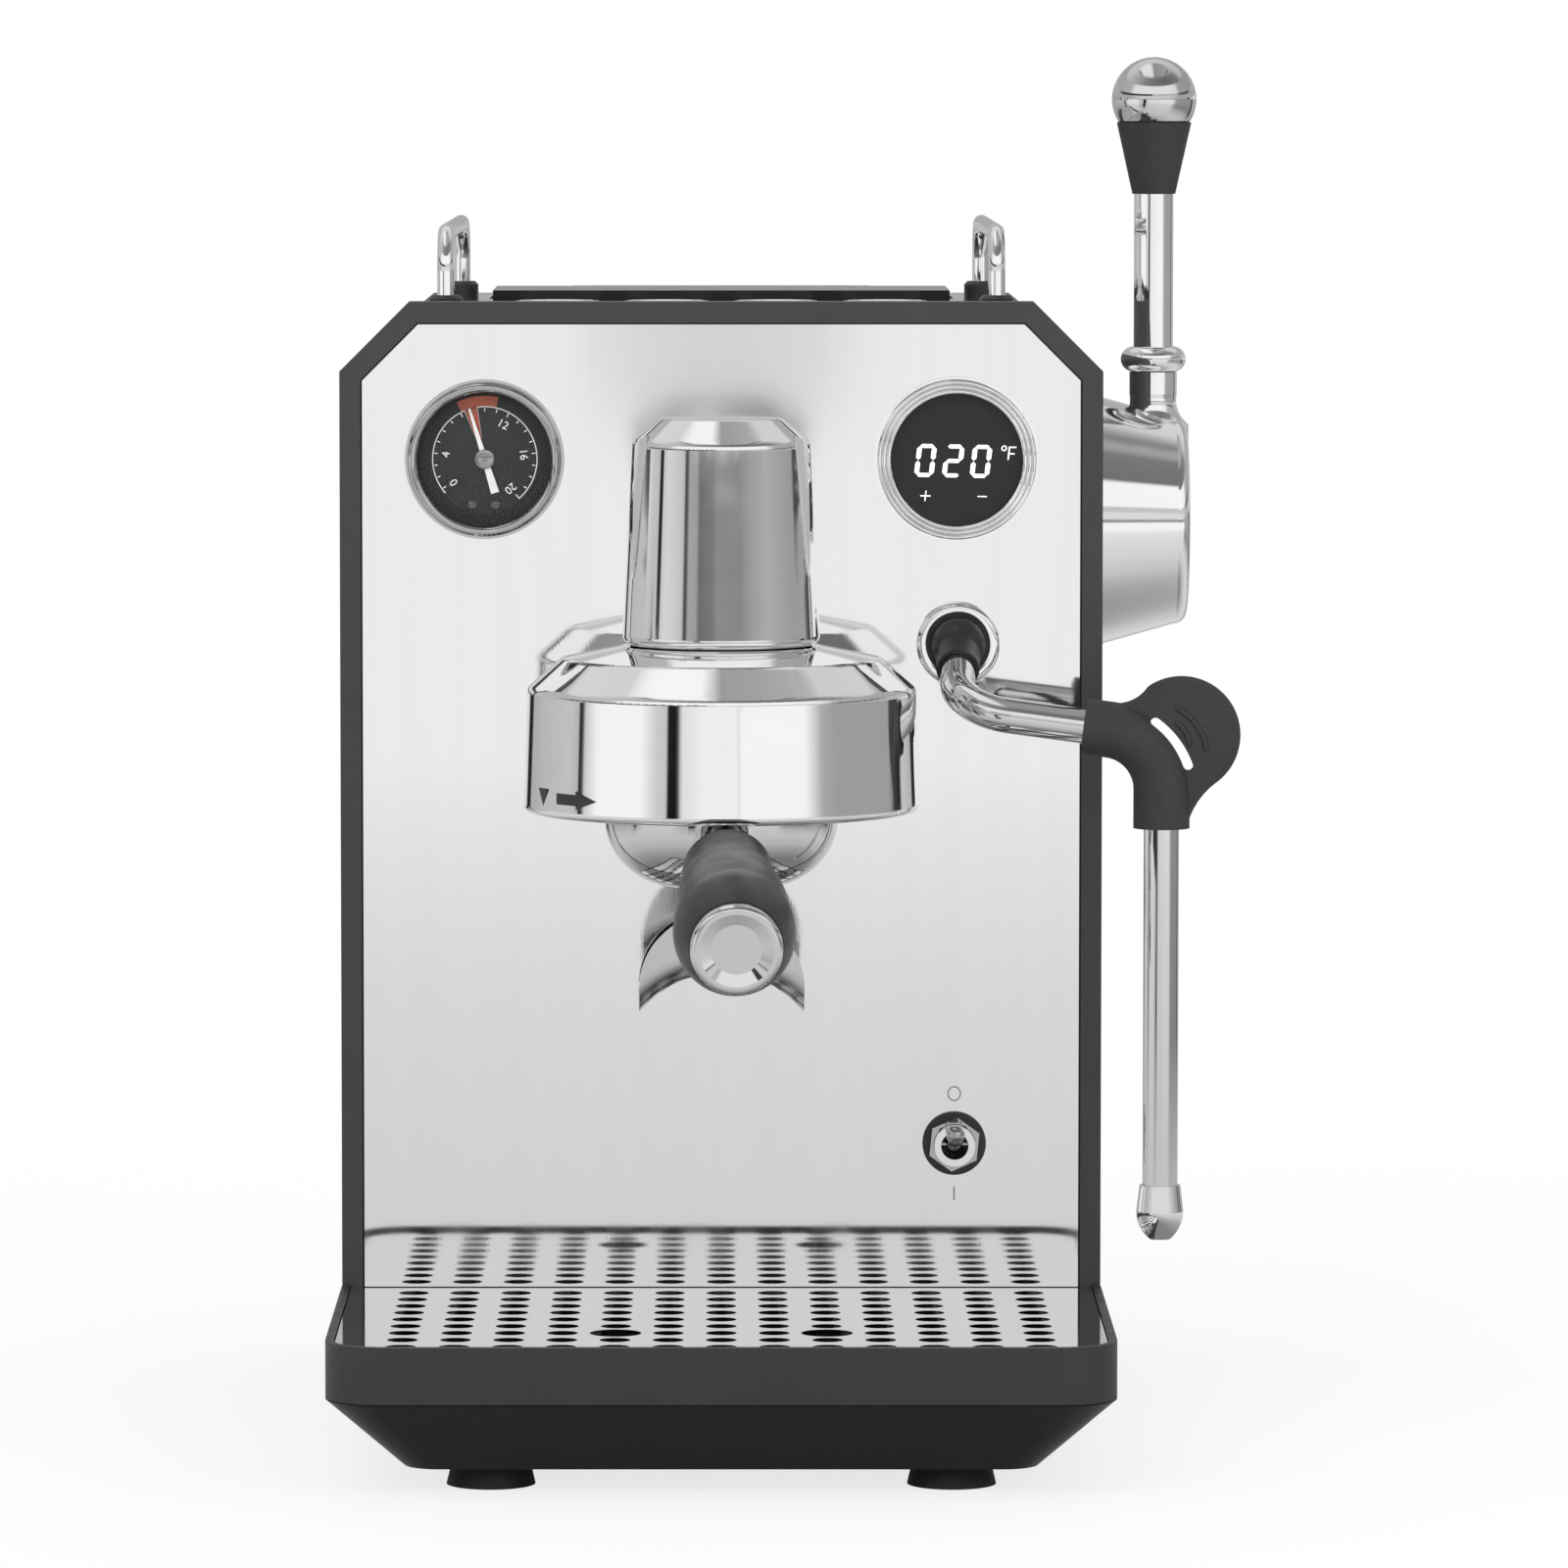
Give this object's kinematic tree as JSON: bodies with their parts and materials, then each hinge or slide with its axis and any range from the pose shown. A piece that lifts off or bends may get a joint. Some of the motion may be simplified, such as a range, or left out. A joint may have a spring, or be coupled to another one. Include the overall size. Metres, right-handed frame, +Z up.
{
  "type": "espresso machine",
  "caption": "Upright home espresso machine with a side brew lever, locking portafilter, swivelling steam wand, sliding drip tray and a lift-out water tank.",
  "frame": {"origin": "centre of the machine's footprint box, on the counter", "axes": "+Z up, the front with the portafilter faces -Y, the brew lever is on the +X side"},
  "size_m": [0.2573, 0.4128, 0.3983],
  "materials": {
    "polished_steel": "polished stainless sheet",
    "chrome": "bright chrome plate",
    "steel": "plain steel",
    "brass": "machined brass",
    "black_enamel": "satin black powder coat",
    "gloss_black": "gloss black",
    "black_plastic": "satin moulded black",
    "rubber": "matt rubber",
    "dial": "matt dark dial",
    "needle": "white paint",
    "lens": "clear glass",
    "dark_glass": "dark tinted glass",
    "clear_plastic": "clear moulded plastic",
    "circuit_board": "board with solder mask"
  },
  "bodies": {
    "machine": {"base": "gloss_black", "feet": "rubber", "front_frame": "black_enamel", "front_panel": "polished_steel", "side_panel_left": "black_enamel", "side_panel_right": "black_enamel", "top_plate": "polished_steel", "back_panel": "black_enamel", "power_inlet": "black_plastic", "cup_rail_left": "chrome", "cup_rail_right": "chrome", "rail_collars": "black_plastic", "gauge_bezel": "chrome", "gauge_can": "steel", "gauge_dial": "dial", "gauge_lens": "lens", "display_bezel": "chrome", "display_window": "dark_glass", "display_can": "black_plastic", "group_cover": "chrome", "group_bell": "chrome", "group_head": "brass", "bayonet_ring": "brass", "group_gasket": "rubber", "shower_screen": "steel", "wand_ring": "chrome", "toggle_washer": "black_plastic", "toggle_nut": "chrome", "toggle_bushing": "chrome", "toggle_body": "black_plastic", "lever_bearing": "steel", "lever_valve_block": "brass", "tank_shelf": "steel", "boiler": "steel", "solenoid_valve": "black_plastic", "pump": "black_plastic", "control_board": "circuit_board", "pipes": "brass"},
    "needle": {"gauge_needle": "needle"},
    "portafilter": {"portafilter_bowl": "chrome", "filter_basket": "steel", "portafilter_spout": "chrome", "handle_ferrule": "chrome", "portafilter_handle": "black_plastic", "handle_end_cap": "chrome"},
    "wand_mount": {"wand_seat": "black_plastic"},
    "wand": {"wand_ball": "black_plastic", "steam_tube": "chrome", "wand_grip": "rubber", "wand_tip": "chrome"},
    "toggle": {"toggle_bat": "chrome"},
    "lever": {"lever_hub": "chrome", "lever_spindle": "steel", "lever_stem": "chrome", "lever_collar": "rubber", "lever_knob": "chrome"},
    "tray": {"drip_tray": "black_enamel"},
    "grate": {"drip_grate": "polished_steel"},
    "tank": {"water_tank": "clear_plastic"},
    "lid": {"tank_lid": "gloss_black"}
  },
  "joints": [
    {"name": "brew_lever", "type": "hinge", "parent": "machine", "child": "lever", "pos_m": [0.08885, 0.0739, 0.2615], "axis": [1, 0, 0], "range_deg": [0, 45]},
    {"name": "power_toggle", "type": "hinge", "parent": "machine", "child": "toggle", "pos_m": [0.04885, 0.0019, 0.0844], "axis": [1, 0, 0], "range_deg": [0, 34]},
    {"name": "wand_roll", "type": "hinge", "parent": "machine", "child": "wand_mount", "pos_m": [0.04965, -0.0021, 0.2294], "axis": [0, 1, 0], "range_deg": [-35, 0]},
    {"name": "wand_swing", "type": "hinge", "parent": "wand_mount", "child": "wand", "pos_m": [0.04965, -0.0021, 0.2294], "axis": [0, 0, 1], "range_deg": [-40, 5]},
    {"name": "portafilter_lock", "type": "hinge", "parent": "machine", "child": "portafilter", "pos_m": [-0.01865, -0.0661, 0.19], "axis": [0, 0, 1], "range_deg": [-50, 0]},
    {"name": "drip_tray_slide", "type": "slide", "parent": "machine", "child": "tray", "axis": [0, -1, 0], "range_m": [0, 0.12]},
    {"name": "grate_lift", "type": "slide", "parent": "tray", "child": "grate", "axis": [0, 0, 1], "range_m": [0, 0.03]},
    {"name": "tank_lift", "type": "slide", "parent": "machine", "child": "tank", "axis": [0, 0, 1], "range_m": [0, 0.25]},
    {"name": "tank_lid_hinge", "type": "hinge", "parent": "tank", "child": "lid", "pos_m": [-0.01865, 0.1939, 0.32645], "axis": [-1, 0, 0], "range_deg": [0, 100]},
    {"name": "gauge_pointer", "type": "hinge", "parent": "machine", "child": "needle", "pos_m": [-0.08685, 0.0039, 0.2827], "axis": [0, 1, 0], "range_deg": [-118, 152]}
  ]
}
